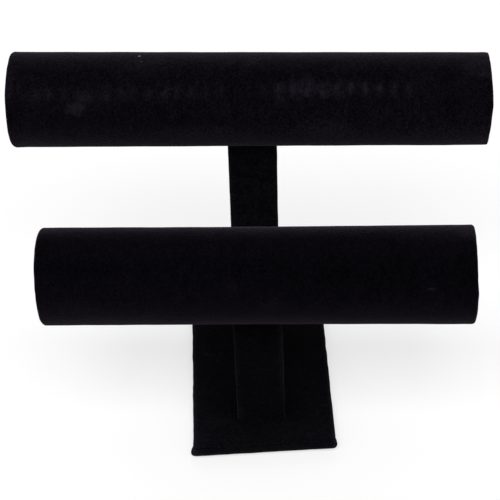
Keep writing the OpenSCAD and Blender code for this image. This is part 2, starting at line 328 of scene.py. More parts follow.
# How much lighter, or for dull and the darker bands darker, the pile is in each mark. The lighter marks on
# the lower side of a bar are painted sheen, and the darker band low on the lower bar's right is painted
# shade.
UPPER_TONES = {
    "strokes_right": 0.64, "strokes_left": 0.19, "haze_middle": 0.46, "haze_right": 0.12, "haze_left": 0.12,
    "under": 0.03, "under_right": 0.04, "lowest": 0.08, "darker_band": 0.05,
}
LOWER_TONES = {
    "dull": 0.03, "darker_top": 0.08, "shade_low": 0.20, "under_left": 0.05, "less_right": 0.035,
    "lowest": 0.03,
}
# Where those marks lie, by their middle and reach or by where they set in and are full: in mm along the bar,
# and for the darker bands, under, lowest and round in degrees, with a reach in mm
UPPER_AT = {
    "drops": (-5, 60), "strokes_right": (58, 66), "strokes_left": (-80, 90),
    "haze_row": (0.2, 9), "haze_middle": (41, 34), "haze_right": (62, 80), "under": (52, 80),
    "under_right": (-40, 10), "lowest": (82, 102), "darker_band": (22, 11),
}
LOWER_AT = {
    "dull": (95, 80), "dull_round": (52, 22), "right": (-60, 30), "shade_right": (-80, -30),
    "darker_top": (6, 10), "shade_low": (88, 110), "under": (40, 65), "lowest": (58, 80),
}
FLECKS = 18.0


def rubbed_and_sheen_places(pile, along, around, places):
    """Ragged light places in the pile: rubbing marks, and painted sheen at a bar's ends."""
    rags = [pile.grain(RAGGED["size"], detail=3.0, rough=0.6, shift=shift) - 0.5 for shift in (3.0, 11.0)]
    along, around = along + rags[0] * RAGGED["along"], around + rags[1] * RAGGED["round"]
    return sum((bar_patch(along, around, *place) for place in places), 0.0)


def flecks(pile, spot):
    """Light and dark dots where the pile is seen almost edge on, about 1 on the whole."""
    return (pile.grain(size=1.1, rough=0.7, shift=5.0, at=spot) - 0.5) * FLECKS + 1.0


def upper_bar_marks(pile):
    """A row of crushed strokes left by packing, with rubbing marks, two bits of fluff and a hair. Painted
    sheen lightens its lower side and its ends, and a band near its top is darker.
    """
    tones, at, risen = UPPER_TONES, UPPER_AT, RISEN
    along, around, spot = round_bar(pile, BARS["upper"])
    wander = pile.grain(size=5.0, detail=3.0, shift=3.0) - 0.5
    x = along + wander * STROKES["wander"][0]
    row = around - arc(STROKES["round"]) - (-x).ramp(*at["drops"]) * arc(STROKES["lower_left"])
    row = row + wander * STROKES["wander"][1]
    beat = ((x - STROKES["first"]) * (2 * math.pi / STROKES["pitch"])).cosine() * 0.5 + 0.5
    right = x.near(*at["strokes_right"]).ramp(0.0, 0.6)
    left = x.near(*at["strokes_left"]).ramp(0.0, 0.4)
    strength = right * tones["strokes_right"] + left * tones["strokes_left"]
    press = beat * beat * beat * row.near(0.0, STROKES["tall"]) * strength
    middle_haze, right_haze = [x.near(*at[part]) * tones[part] for part in ("haze_middle", "haze_right")]
    haze = row.near(*at["haze_row"]) * (middle_haze + right_haze + left * tones["haze_left"])
    worn = pile.grain(size=7.0, detail=3.0, shift=7.0).ramp(0.3, 0.65)
    left_of_press, left_of_haze = [risen[part][0] + worn * risen[part][1] for part in ("strokes", "haze")]
    pressed = press * left_of_press + haze * left_of_haze
    # Painted sheen: the lower side of the bar is lighter, more so on the right, with flecks in it
    under_right = x.ramp(*at["under_right"]) * tones["under_right"]
    under = around.ramp(*map(arc, at["under"])) * (tones["under"] + under_right)
    lowest = around.ramp(*map(arc, at["lowest"])) * tones["lowest"]
    darker_band = near_round(around, at["darker_band"]) * tones["darker_band"]
    # Rubbing marks, and painted sheen at the bar's ends
    rubbed_and_sheen = rubbed_and_sheen_places(pile, along, around, UPPER_RUBBED_AND_SHEEN)
    crush_and_light = pressed + rubbed_and_sheen + (under + lowest) * flecks(pile, spot) - darker_band
    hair = (along + around * HAIR["slope"]).near(HAIR["at"], HAIR["half_width"])
    hair = hair * around.near(arc(HAIR["round"]), HAIR["half_length"]).ramp(0.0, 0.4) * HAIR["lighter"]
    first, second = [bar_patch(along, around, *bit) for bit in LINT_BITS]
    return crush_and_light, first.most(second).most(hair)


def lower_bar_marks(pile):
    """A few rubbing marks, one pale thread and darker bands near its top and at a dull place. Painted sheen
    lightens its lower front and its ends, and painted shade darkens it low on the right.
    """
    tones, at = LOWER_TONES, LOWER_AT
    along, around, spot = round_bar(pile, BARS["lower"])
    dull = along.near(*at["dull"]).ramp(0.0, 0.5) * near_round(around, at["dull_round"]) * tones["dull"]
    # Painted shade low on the bar's right; a band near its top is darker too
    shade_right = along.ramp(*at["shade_right"])
    darker_band = near_round(around, at["darker_top"]) * tones["darker_top"]
    darker_band = darker_band + around.ramp(*map(arc, at["shade_low"])) * shade_right * tones["shade_low"]
    # Painted sheen: the lower front is lighter, less so on the right
    less_right = along.ramp(*at["right"]) * tones["less_right"]
    under = around.ramp(*map(arc, at["under"])) * (tones["under_left"] - less_right)
    lowest = around.ramp(*map(arc, at["lowest"])) * tones["lowest"] * (flecks(pile, spot) - 1.0)
    # Rubbing marks, and painted sheen at the bar's ends
    rubbed_and_sheen = rubbed_and_sheen_places(pile, along, around, LOWER_RUBBED_AND_SHEEN)
    return rubbed_and_sheen + under + lowest - dull - darker_band, bar_patch(along, around, *THREAD)


# Lighter and darker places of the base's top: middle and reach in mm, and how much lighter. The two darker
# ones either side of the front post's foot, under the lower bar, are painted shade.
BASE_RUBBED_AND_SHADED = (
    (36, -71, 11, 5, 0.05), (-41, -69, 7, 9, 0.10), (-31, -52, 13, 7, 0.08),
    (-21, -38, 13, 17, -0.12), (20, -44, 14, 18, -0.12), (-38, 20, 9, 22, 0.04),
    (-36.8, 13.2, 2.4, 2.4, 0.50), (-33.2, 11.6, 3.6, 1.8, 0.26), (-29, 7.6, 1.6, 4.8, 0.32),
    (-26.6, 12.6, 1.8, 4.4, 0.28), (-20, 12, 2.4, 3, 0.16), (13, -70.5, 3, 2, 0.16),
)
# How much lighter the base's pile is in each mark: towards the front it is painted light past the lower bar's
# shadow, and at the hem's fold and over the side edges painted sheen
BASE_TONES = {"front": 0.12, "left": 0.12, "arris": 0.16, "hem_sheen": 0.6, "edge_sheen": 0.34}
# How pale painted sheen makes the fold at the front and back, what it adds on the right, and the edges at
# the sides
PAINTED_SHEEN = {"fold": 0.014, "fold_right": 0.014, "sides": 0.008}
# Where those marks lie on the base, in mm from its middle and up from the table, as above
BASE_AT = {
    "front": (44, 74), "left": (34, 45), "right": (15, 44), "edge_sheen": (42.2, 45.6),
    "arris": ((75.6, 1.3), (8.3, 1.5)), "fold": ((75, 76), (0.6, 4.2)),
    "sides": ((44, 45.8), (7, 5)),
}
# How much lighter each mark makes a sleeve: at the foot and in a bar's shadow this is painted light
POST_TONES = {"foot": 0.06, "pressed_left": 0.14, "shadow_lift": 0.10}
# How far up a sleeve its foot is painted lighter and its right corner sets in, where the place pressed on
# its left lies, by its middle from the corner and its reach, and the heights between which a bar shades it,
# where painted light lifts the shadow
POST_AT = {"foot": 26, "right": 45, "pressed_left": ((1, 6), (5, 13)), "shadow_lift": (130, 158)}
# The corners of a sleeve are worn, and carry painted sheen, from this far to this far inside its sides
WORN_AND_SHEEN_CORNER = (4.2, 0.5)


def base_marks(pile):
    """Lighter towards the left edge, with rubbing marks. Painted light lightens it towards the front, past
    the lower bar's shadow; painted sheen lightens it over the edges and where the cloth folds under, partly
    in a pale tint, and painted shade darkens it either side of the front post's foot."""
    x, y, z = pile.place()
    at, tones = BASE_AT, BASE_TONES
    # Painted light: lighter towards the front, past the lower bar's shadow
    lit_front = (-y).ramp(*at["front"]) * tones["front"]
    to_left = (-x).ramp(*at["left"]) * tones["left"]
    arris = y.size().near(*at["arris"][0]) * z.near(*at["arris"][1]) * tones["arris"]
    to_right = x.ramp(*at["right"])
    # Painted sheen where the cloth folds under at the front and back and over the side edges, part of it in a
    # pale tint
    hem_sheen = y.size().ramp(*at["fold"][0]) * z.near(*at["fold"][1])
    edge_sheen = x.size().ramp(*at["edge_sheen"]) * tones["edge_sheen"]
    hem_and_edge_sheen = hem_sheen * (PAINTED_SHEEN["fold"] + to_right * PAINTED_SHEEN["fold_right"])
    hem_and_edge_sheen = hem_and_edge_sheen + x.size().ramp(*at["sides"][0]) * z.near(*at["sides"][1]) * PAINTED_SHEEN["sides"]
    total = lit_front + to_left + arris + hem_sheen * tones["hem_sheen"] + edge_sheen
    # Rubbing marks, and painted shade either side of the front post's foot
    for middle_x, middle_y, reach_x, reach_y, lighter in BASE_RUBBED_AND_SHADED:
        total = total + patch(x, y, (middle_x, middle_y), (reach_x, reach_y)) * lighter
    return total, hem_and_edge_sheen


def post_marks(post):
    """The pile is worn lighter down the corners of a sleeve, which also carry painted sheen. Painted light
    lightens its foot and, where a bar shades it, its top; a place low on its left is pressed lighter.
    """

    def marks(pile):
        x, y, z = pile.place()
        across = x - post["x"]
        start, end = [SLEEVE["half_w"] - inside for inside in WORN_AND_SHEEN_CORNER]
        left, right = [(across * side).ramp(start, end) for side in (-1.0, 1.0)]
        # Painted light at the foot of a sleeve
        foot = (z - COVERED["top"]).near(0.0, POST_AT["foot"])
        (inwards, up), reach = POST_AT["pressed_left"]
        pressed_left = patch(across, z, (-SLEEVE["half_w"] + inwards, COVERED["top"] + up), reach)
        # Worn pile and painted sheen down the corners
        corners = left * post["worn"][0] + right * z.ramp(COVERED["top"], POST_AT["right"]) * post["worn"][1]
        # Painted light where a bar shades the top of a sleeve
        shadow_lift = z.ramp(*POST_AT["shadow_lift"])
        pressed = pressed_left * POST_TONES["pressed_left"]
        return corners + foot * POST_TONES["foot"] + pressed + shadow_lift * POST_TONES["shadow_lift"], 0.0

    return marks


# Two colours of each bare material, which its grain blends
COLOURS = {
    "felt": ((0.008, 0.008, 0.009), (0.05, 0.048, 0.053)),
    "fibreboard": ((0.33, 0.22, 0.13), (0.62, 0.50, 0.36)),
    "pine": ((0.70, 0.52, 0.33), (0.46, 0.27, 0.13)),
    "card": ((0.30, 0.20, 0.12), (0.60, 0.46, 0.31)),
    "zinc": ((0.58, 0.59, 0.61), (0.74, 0.74, 0.75)),
    "paper": ((0.87, 0.87, 0.87), (0.90, 0.90, 0.90)),
}
# The floor's colour to the stand, how bright it glows to the eye, and the share of that glow in what is seen
FLOOR = {"to_stand": (0.62, 0.62, 0.62), "glow": 1.2, "share": 0.5}
# Spacing of the growth rings in mm and how they cross the post, with how far they sway
RINGS = {"spacing": 2.6, "across": 0.55, "deep": 0.9, "sway": 7.0}
# The spiral seam of a card tube: how far it climbs in one turn, and its half width as a share of that
SEAM = {"climb": 72.0, "half_width": 0.012}


def felt(name):
    """Thin pressed felt with short tangled fibres."""
    wool = Finish(name)
    tangle = wool.grain(size=0.5, detail=4.0, rough=0.8, warp=1.5)
    pressed = wool.grain(size=7.0)
    colour = wool.blend((tangle * 0.8 + pressed * 0.3 - 0.05).held(), *COLOURS["felt"])
    return wool.surface(
        Base_Color=colour, Roughness=0.9 + tangle * 0.08, Normal=wool.bump(tangle, depth=0.2, strength=0.7),
        Specular_IOR_Level=0.15, Sheen_Weight=0.05, Sheen_Roughness=0.6,
    )


def fibreboard(name):
    """Bare pressed board: fine fibre flecks, a little darker in the sawn edges."""
    board = Finish(name)
    x, y, _ = board.place()
    fibres = board.grain(size=0.7, detail=4.0, rough=0.75, stretch=(1.0, 0.6, 1.6))
    cloud = board.grain(size=14.0)
    sides = [at.size().ramp(half - 0.2, half) for at, half in ((x, BOARD["half_w"]), (y, BOARD["half_d"]))]
    sawn = sides[0].most(sides[1])
    mask = (fibres * 0.7 + cloud * 0.4 - sawn * 0.25).held()
    return board.surface(
        Base_Color=board.blend(mask, *COLOURS["fibreboard"]),
        Roughness=0.72 + fibres * 0.15, Normal=board.bump(fibres, depth=0.08, strength=0.5),
    )


def softwood(name):
    """Bare planed pine, its growth rings running up the post."""
    pine = Finish(name)
    x, y, _ = pine.place()
    sway = pine.grain(size=26.0, stretch=(1.0, 1.0, 0.2))
    rings = x * RINGS["across"] + y * RINGS["deep"] + sway * RINGS["sway"]
    rings = (rings / RINGS["spacing"]).part()
    late = rings.ramp(0.35, 0.9) * (1.0 - rings.ramp(0.92, 1.0))
    fibres = pine.grain(size=0.6, detail=3.0, rough=0.7, stretch=(1.0, 1.0, 0.06))
    mask = (late * 0.75 + (fibres - 0.5) * 0.5).held()
    return pine.surface(
        Base_Color=pine.blend(mask, *COLOURS["pine"]),
        Roughness=0.55 + fibres * 0.2, Normal=pine.bump(fibres - late * 0.3, depth=0.06, strength=0.5),
    )


def card(name, bar=None):
    """Brown card with short pulp fibres; a tube also shows the seam of its spiral winding."""
    pulp = Finish(name)
    fibres = pulp.grain(size=0.8, detail=4.0, rough=0.7, warp=0.8)
    cloud = pulp.grain(size=20.0)
    mask = fibres * 0.6 + cloud * 0.4
    relief = fibres
    if bar:
        along, around, _ = round_bar(pulp, bar)
        winding = (along / SEAM["climb"] + around / (2 * math.pi * BAR_R)).part()
        seam = (winding - 0.5).size().near(0.0, SEAM["half_width"])
        mask = mask - seam * 0.5
        relief = fibres - seam * 2.0
    return pulp.surface(
        Base_Color=pulp.blend(mask.held(), *COLOURS["card"]),
        Roughness=0.78 + fibres * 0.12, Normal=pulp.bump(relief, depth=0.08, strength=0.5),
    )


def zinc_plate(name):
    """Bright zinc plating, slightly blotched."""
    zinc = Finish(name)
    blotch = zinc.grain(size=1.6, detail=3.0, warp=0.5)
    return zinc.surface(
        Base_Color=zinc.blend(blotch, *COLOURS["zinc"]),
        Metallic=1.0, Roughness=0.24 + blotch * 0.16, Normal=zinc.bump(blotch, depth=0.02, strength=0.3),
    )


def pale_floor(name):
    """White paper sweep: shown as white, it still takes the stand's shadow and throws some light back."""
    paper = Finish(name)
    tooth = paper.grain(size=3.0, detail=3.0)
    seen = seen_rays(paper)
    shade = paper.blend(seen, FLOOR["to_stand"], paper.blend(tooth, *COLOURS["paper"]))
    lit = paper.add("ShaderNodeBsdfDiffuse", sockets={"Color": shade})
    white = (1.0, 1.0, 1.0, 1.0)
    bright = paper.add("ShaderNodeEmission", sockets={"Color": white, "Strength": FLOOR["glow"]})
    return paper.show(paper.add("ShaderNodeMixShader", sockets={0: seen * FLOOR["share"], 1: lit, 2: bright}))


def seen_rays(paper):
    """1 for what the camera sees, also by way of metal or glass."""
    path = [paper.add("ShaderNodeLightPath", out=ray) for ray in
            ("Is Camera Ray", "Is Glossy Ray", "Is Transmission Ray")]
    return path[0].most(path[1]).most(path[2])


# Cloth
# Unevenness of hand-laid cloth: the size of its waves in mm, the seed of each, and how far they stand out
WAVES = {
    "base_side": ((9, 1, 0.30), (3.5, 2, 0.10)), "base_top": ((16, 3, 0.10), (4, 4, 0.04)),
    "tuck": ((2.5, 5, 0.2),), "felt": ((2, 9, 0.05),), "sleeve": ((11, 11, 0.14), (4, 12, 0.05)),
    "bar": ((22, 21, 0.12), (6, 22, 0.05)), "rim": ((7, 23, 0.16),), "end": ((9, 31, 0.10),),
}
SEED_STEP = (7.3, 3.1, 5.7)
# Cloth bent more sharply than this many degrees shows an edge
SHARP_FROM = 55
# Points of the cloth that lie closer than this, in metres, are one
SAME_SPOT = 1e-7
# Lengths below this count as none, and nothing is divided by less
TINY = 1e-9


def uneven(points, where):
    """How far the cloth stands out of its even shape at points in mm."""
    return sum(waves(points, size, seed) * height for size, seed, height in WAVES[where])


def waves(points, size, seed):
    """Slow waves from -1 to 1 at points in mm."""
    shift = Vector([seed * step for step in SEED_STEP])
    flat = points.reshape(-1, 3) / size
    values = [noise.noise(Vector(p) + shift) for p in flat]
    return np.array(values).reshape(points.shape[:-1])


def smooth(start, end, value):
    """0 at the start and 1 at the end, soft between them."""
    t = np.clip((value - start) / (end - start), 0.0, 1.0)
    return t * t * (3 - 2 * t)


def cloth(name, face, back, finish, ring=False, pole=False):
    """One sheet of cloth from two like grids of points in mm, its pile side and its back, closed along its
    cut edges. A ring's rows close on themselves, and a pole leaves no hole where the columns start."""
    rows, columns, _ = face.shape
    points = np.concatenate([face.reshape(-1, 3), back.reshape(-1, 3)]) * MM
    number = np.arange(rows * columns).reshape(rows, columns)
    if ring:
        number = np.concatenate([number, number[:1]])
    other = number + rows * columns
    quads = []
    for layer in (number, other):
        square = [layer[:-1, :-1], layer[1:, :-1], layer[1:, 1:], layer[:-1, 1:]]
        quads.append(np.stack(square, -1).reshape(-1, 4))
    edges = [(number[:, -1], other[:, -1])]
    if not pole:
        edges.append((number[:, 0], other[:, 0]))
    if not ring:
        edges += [(number[0], other[0]), (number[-1], other[-1])]
    for top, under in edges:
        quads.append(np.stack([top[:-1], top[1:], under[1:], under[:-1]], -1))
    mesh = bpy.data.meshes.new(name)
    mesh.from_pydata(points.tolist(), [], np.concatenate(quads).tolist())
    shape = bmesh.new()
    shape.from_mesh(mesh)
    bmesh.ops.remove_doubles(shape, verts=shape.verts, dist=SAME_SPOT)
    bmesh.ops.recalc_face_normals(shape, faces=shape.faces)
    shape.to_mesh(mesh)
    shape.free()
    mesh.shade_smooth()
    mesh.set_sharp_from_angle(angle=math.radians(SHARP_FROM))
    mesh.materials.append(finish)
    piece = bpy.data.objects.new(name, mesh)
    bpy.context.scene.collection.objects.link(piece)
    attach(piece, "root")
    return piece


def along_cloth(*stretches):
    """Stations along the cloth from stretches of (start, end, how many steps)."""
    return np.unique(np.concatenate([np.linspace(a, b, n + 1).round(5) for a, b, n in stretches]))


# Base
# The cloth is folded within this far of a corner
FOLDED = 7.0


def rectangle_loop(half_w, half_d):
    """Points round a unit rectangle, close together at its corners where the cloth is folded."""
    def side(half):
        near = 1 - FOLDED / half
        return along_cloth((-1, -near, 20), (-near, near, int(half)), (near, 1, 20))
    x, y = side(half_w), side(half_d)
    front = [(a, -1) for a in x]
    right = [(1, b) for b in y[1:]]
    rear = [(a, 1) for a in x[::-1][1:]]
    left = [(-1, b) for b in y[::-1][1:-1]]
    return np.array(front + right + rear + left, float)


def rounded(loop, half_w, half_d, corner):
    """The loop laid round a rectangle with round corners, and the way outwards at each point."""
    at = loop * (half_w, half_d)
    corner = max(min(corner, half_w, half_d), 1e-4)
    core = np.clip(at, (corner - half_w, corner - half_d), (half_w - corner, half_d - corner))
    away = at - core
    length = np.linalg.norm(away, axis=1, keepdims=True)
    outwards = away / np.maximum(length, TINY)
    return core + outwards * corner, outwards


def base_rings():
    """Rings of the cover from the middle of the top, over the edge, down the side and under to the hem's cut
    edge: each is how far in from the side it lies, and its height."""
    w, edge = COVERED["half_w"], COVERED["edge"]
    top, bottom = COVERED["top"], COVERED["bottom"]
    rings = [(w - s, top) for s in along_cloth((0, w - 6, 14), (w - 6, w - edge, 6))]
    for a in np.linspace(0, math.pi / 2, 7)[1:]:
        rings.append((edge * (1 - math.sin(a)), top - edge * (1 - math.cos(a))))
    rings += [(0, z) for z in np.linspace(top - edge, bottom + edge, 8)[1:]]
    for a in np.linspace(0, math.pi / 2, 7)[1:]:
        rings.append((edge * (1 - math.cos(a)), bottom + edge * (1 - math.sin(a))))
    rings += [(d, bottom) for d in np.linspace(edge, HEM, 7)[1:]]
    return rings


# How far each corner's tuck stands out to the side, where its middle lies to the front or back and in height,
# and how far it reaches up and down from there
TUCKS = {
    (-1, -1): (1.8, 74.7, 2.3, 4.4, 3),
    (1, -1): (0.8, 74.3, 3.6, 4, 1.6),
    (-1, 1): (1.2, 74.4, 2.6, 4.6, 3),
    (1, 1): (1.4, 74.6, 2.6, 4.8, 3),
}
# A tuck reaches this far to the front and back, and sets in and is full at these distances to the side
TUCK_REACH, TUCK_SIDE = 1.75, (40.0, 44.5)
# The fold under the edge hangs down by this much on the left and on the right, reaches in under the base and
# begins at a height
ROLL = {"down": (0.95, 0.1), "inwards": 5.5, "height": 4.5}
# The cloth stands off the front by this much on the left and on the right, between two places towards it,
# and off every side by its slack
LOOSE = {"off": (1.1, 0.2), "between": (-72.0, -75.5)}
SLACK = 0.2
# Heights over which the unevenness of the sides and of the top fades out
FADES = (1.2, 1.8)
# How much sharper the corners of the cover's rings are the further in they lie, and their least radius
SHARPER = (0.8, 0.3)


def base_cover(finish):
    """Velvet over the top and edges of the board, with the spare cloth pinched into a tuck at each corner."""
    w, d = COVERED["half_w"], COVERED["half_d"]
    loop = rectangle_loop(w, d)
    layers = []
    for inset, height in base_rings():
        corner = max(COVERED["edge"] - SHARPER[0] * inset, SHARPER[1])
        plan, outwards = rounded(loop, w - inset, d - inset, corner)
        ring = np.column_stack([plan, np.full(len(plan), height)])
        layers.append((ring, outwards, inset))
    face = np.stack([ring for ring, _, _ in layers], 1)
    outwards = np.stack([way for _, way, _ in layers], 1)
    height = face[..., 2]
    bottom, top = COVERED["bottom"], COVERED["top"]
    upright = smooth(bottom, bottom + FADES[0], height) * (1 - smooth(top - FADES[0], top, height))
    face[..., :2] += outwards * ((uneven(face, "base_side") + SLACK) * upright)[..., None]
    face[..., 2] += smooth(top - FADES[1], top, height) * uneven(face, "base_top")
    inset = np.array([gap for gap, _ in base_rings()])[None, :]
    roll = np.interp(face[..., 0], [-w, w], ROLL["down"]) * (height < (top + bottom) / 2)
    near_edge = (1 - smooth(0.0, ROLL["inwards"], inset)) * (1 - smooth(bottom, ROLL["height"], height))
    face[..., 2] -= roll * near_edge
    loose = np.interp(face[..., 0], [-w, w], LOOSE["off"])
    face[..., 1] -= loose * smooth(*LOOSE["between"], face[..., 1]) * upright
    for (side, end), (proud, middle, level, up, down) in TUCKS.items():
        away = (face[..., 1] * end - middle) / TUCK_REACH
        rise = face[..., 2] - level
        above = rise / np.where(rise > 0, up, down)
        bulge = np.sqrt(np.clip(1 - away ** 2, 0, None)) * np.sqrt(np.clip(1 - above ** 2, 0, None))
        on_side = smooth(*TUCK_SIDE, face[..., 0] * side)
        face[..., 0] += side * proud * bulge * on_side * (1 + uneven(face, "tuck"))
    low_corner = (-BOARD["half_w"] - GLUE, -BOARD["half_d"] - GLUE, BOARD["bottom"] - GLUE)
    back = np.clip(face, low_corner, (BOARD["half_w"] + GLUE, BOARD["half_d"] + GLUE, BOARD["top"] + GLUE))
    piece = cloth("base_velvet", face, back, finish, ring=True, pole=True)
    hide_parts("base_cover")


def base_liner(finish):
    """Felt glued under the base, over the hem, with its cut edge slightly rounded."""
    x = along_cloth((-1, -0.9, 8), (-0.9, 0.9, 30), (0.9, 1, 8))
    grid = np.stack(np.meshgrid(x, x, indexing="ij"), -1)
    shell = np.abs(grid).max(-1)
    half = (LINER["half_w"], LINER["half_d"])
    corner = (shell * LINER["corner"])[..., None]
    reach = shell[..., None] * half - corner
    core = np.clip(grid * half, -reach, reach)
    away = grid * half - core
    length = np.linalg.norm(away, axis=-1, keepdims=True)
    plan = np.where(length > TINY, core + away / np.maximum(length, TINY) * corner, core)
    spread = np.concatenate([plan, np.zeros_like(plan[..., :1])], -1)
    rounding = LINER["rounding"] * smooth(0.985, 1.0, shell)
    under, over = spread.copy(), spread.copy()
    under[..., 2] = rounding + np.abs(uneven(spread, "felt"))
    over[..., 2] = LINER["thick"] - rounding * 0.5
    piece = cloth("base_felt", under, over, finish)
    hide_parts("base_liner")


# Posts
# A sleeve leans about one height, and from a given depth below it no further
LEAN = {"about": 118, "below": 45}
# At its foot a sleeve spreads by this much, which fades with the height
FLARE = {"out": 0.15, "height": 1.2}
# The upper layer of a sleeve's lap rises over this length, and is up this far before the lower one
LAP_RISE, LAP_EARLY = 2, 0.2


def sleeve_outline(stations, r):
    """Plan of a sleeve with corners of radius r, the way outwards and the length round it, at stations by
    their distance from the middle of the back towards the right."""
    w, d = SLEEVE["half_w"], SLEEVE["half_d"]
    bend = math.pi / 2 * r
    runs = [(w - r, (0, d), (1, 0)), (bend, (w - r, d - r), 90), (2 * (d - r), (w, d - r), (0, -1)),
            (bend, (w - r, r - d), 0), (2 * (w - r), (w - r, -d), (-1, 0)), (bend, (r - w, r - d), -90),
            (2 * (d - r), (-w, r - d), (0, 1)), (bend, (r - w, d - r), -180), (w - r, (r - w, d), (1, 0))]
    total = sum(run[0] for run in runs)
    plan, ways = [], []
    for s in stations:
        left = s % total
        for length, start, way in runs:
            if left <= length + TINY:
                break
            left -= length
        if isinstance(way, tuple):
            plan.append((start[0] + way[0] * left, start[1] + way[1] * left))
            ways.append((-way[1], way[0]))
        else:
            a = math.radians(way) - left / r
            plan.append((start[0] + r * math.cos(a), start[1] + r * math.sin(a)))
            ways.append((math.cos(a), math.sin(a)))
    return np.array(plan), np.array(ways), total


def post_sleeve(name, node, post, bar, finish):
    """Velvet round a post, lapped down the back, its foot on the base and its top under the bar."""
    half = SLEEVE["lap"] / 2
    w, d, r = SLEEVE["half_w"], SLEEVE["half_d"], post["corner"]
    _, _, total = sleeve_outline([0.0], r)
    bend = math.pi / 2 * r
    corners = np.cumsum([w - r, bend, 2 * (d - r), bend, 2 * (w - r), bend, 2 * (d - r), bend])
    overlap, rise = total - half, total - half - LAP_RISE
    stops = [-half, half, *corners, rise, overlap, total + half]
    steps = [6, 8, 6, 9, 6, 22, 6, 9, 6, 6, 5, 6]
    round_it = along_cloth(*zip(stops, stops[1:], steps))
    plan, ways, _ = sleeve_outline(round_it, r)
    over = smooth(rise, overlap - LAP_EARLY, round_it) * (VELVET + GLUE)
    turn = math.radians(bar["turn"])
    behind, beside = plan[:, 1] + post["y"] - bar["y"], plan[:, 0] + post["x"] - bar["x"]
    from_axis = behind * math.cos(turn) - beside * math.sin(turn)
    top = bar["z"] - np.sqrt((BAR_R + GLUE) ** 2 - from_axis ** 2)
    foot = COVERED["top"]
    share = along_cloth((0, 0.03, 6), (0.03, 1, 60))
    height = foot + share[None, :] * (top - foot)[:, None]
    face = np.empty((len(round_it), len(share), 3))
    flare = FLARE["out"] * np.exp(-(height - foot) / FLARE["height"])
    base_plan = np.broadcast_to(plan[:, None, :], face.shape[:2] + (2,))
    spots = np.concatenate([base_plan, height[..., None]], -1)
    proud = over[:, None] + flare + uneven(spots, "sleeve")
    face[..., :2] = base_plan + ways[:, None, :] * proud[..., None]
    lean = post["drift"] * (height - LEAN["about"]).clip(-LEAN["below"], None)
    face[..., 0] += post["puff"] * plan[:, None, 0] / w + lean
    face[..., 2] = height
    back = face.copy()
    wood = np.array((CORE["half_w"], CORE["half_d"])) + GLUE
    inner = np.clip(plan, -wood, wood)
    back[..., :2] = (inner + ways * over[:, None])[:, None, :]
    for side in (face, back):
        side[..., 0] += post["x"]
        side[..., 1] += post["y"]
    piece = cloth(name, face, back, finish)
    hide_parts(node)
    tall = (top.max() - foot) * MM
    wide = (total + SLEEVE["lap"]) * MM


# Bars
# The card tube ends this far inside each end of a bar, and the velvet is nowhere pressed thinner over it
CARD_SHORT = 1.0
CARD_COVER = 0.25
# What both rims and both turned-in ends add to the length of a bar's velvet
ENDS_LENGTH = 27.1


def clear_of_card(card_end, along, radius):
    """Place along the bar and radius of the velvet's face, lifted clear of the card."""
    middle_r, half_wall = (TUBE["outer"] + TUBE["bore"]) / 2, (TUBE["outer"] - TUBE["bore"]) / 2
    past_end = np.abs(along) - card_end
    off_wall = np.abs(radius - middle_r) - half_wall
    out_end, out_wall = np.maximum(past_end, 0), np.maximum(off_wall, 0)
    gap = np.hypot(out_end, out_wall)
    depth = np.where(gap > 0, gap, np.maximum(past_end, off_wall))
    lift = np.maximum(CARD_COVER - depth, 0)
    nearest_end = past_end > off_wall
    lift_end = lift * np.where(gap > 0, out_end / np.maximum(gap, TINY), nearest_end)
    lift_wall = lift * np.where(gap > 0, out_wall / np.maximum(gap, TINY), ~nearest_end)
    way = np.where(radius > middle_r, 1, -1)
    return along + np.sign(along) * lift_end, radius + way * lift_wall


def on_bar(bar, along, radius, angle):
    """Points on the stand from the place along a bar, the radius, and the angle from straight down."""
    turn = math.radians(bar["turn"])
    out = radius * np.sin(angle)
    x = bar["x"] + along * math.cos(turn) - out * math.sin(turn)
    y = bar["y"] + along * math.sin(turn) + out * math.cos(turn)
    return np.stack([x, y, bar["z"] - radius * np.cos(angle)], -1)


def end_path(bar, side):
    """The cloth's way from the middle of the bar over one rim to its cut edge in the bore: place, radius and
    the way outwards for its pile side, and place and radius for its back."""
    half = bar["length"] / 2
    shoulder = bar["shoulder"][0 if side < 0 else 1]
    fold = (BAR_R - TURNED_R) / 2
    middle_r = TURNED_R + fold
    wall, held = (TUBE["outer"] - TUBE["bore"]) / 2, CARD_SHORT - VELVET - GLUE
    path = []
    for x in along_cloth((0, half - 12, 44), (half - 12, half - shoulder, 8)):
        path.append((x, BAR_R, 0.0, 1.0, x, TUBE["outer"] + GLUE))
    for a in np.linspace(0, math.pi / 2, 17)[1:]:
        c, s = math.cos(a), math.sin(a)
        way = np.array((s / shoulder, c / fold))
        way /= np.linalg.norm(way)
        path.append((half - shoulder + shoulder * s, middle_r + fold * c, *way,
                     half - CARD_SHORT + held * s ** 0.5, middle_r + (wall + GLUE) * c ** 0.5))
    for a in np.linspace(math.pi / 2, math.pi, 8)[1:]:
        c, s = math.cos(a), abs(math.sin(a))
        path.append((half - fold + fold * s, middle_r + fold * c, s, c,
                     half - CARD_SHORT + held * s ** 0.5, middle_r - (wall + GLUE) * abs(c) ** 0.5))
    for x in np.linspace(half - fold, half - TURN_IN, 7)[1:]:
        path.append((x, TURNED_R, 0.0, -1.0, min(x, half - CARD_SHORT), TUBE["bore"] - GLUE))
    path = np.array(path)
    path[:, [0, 2, 4]] *= side
    return path


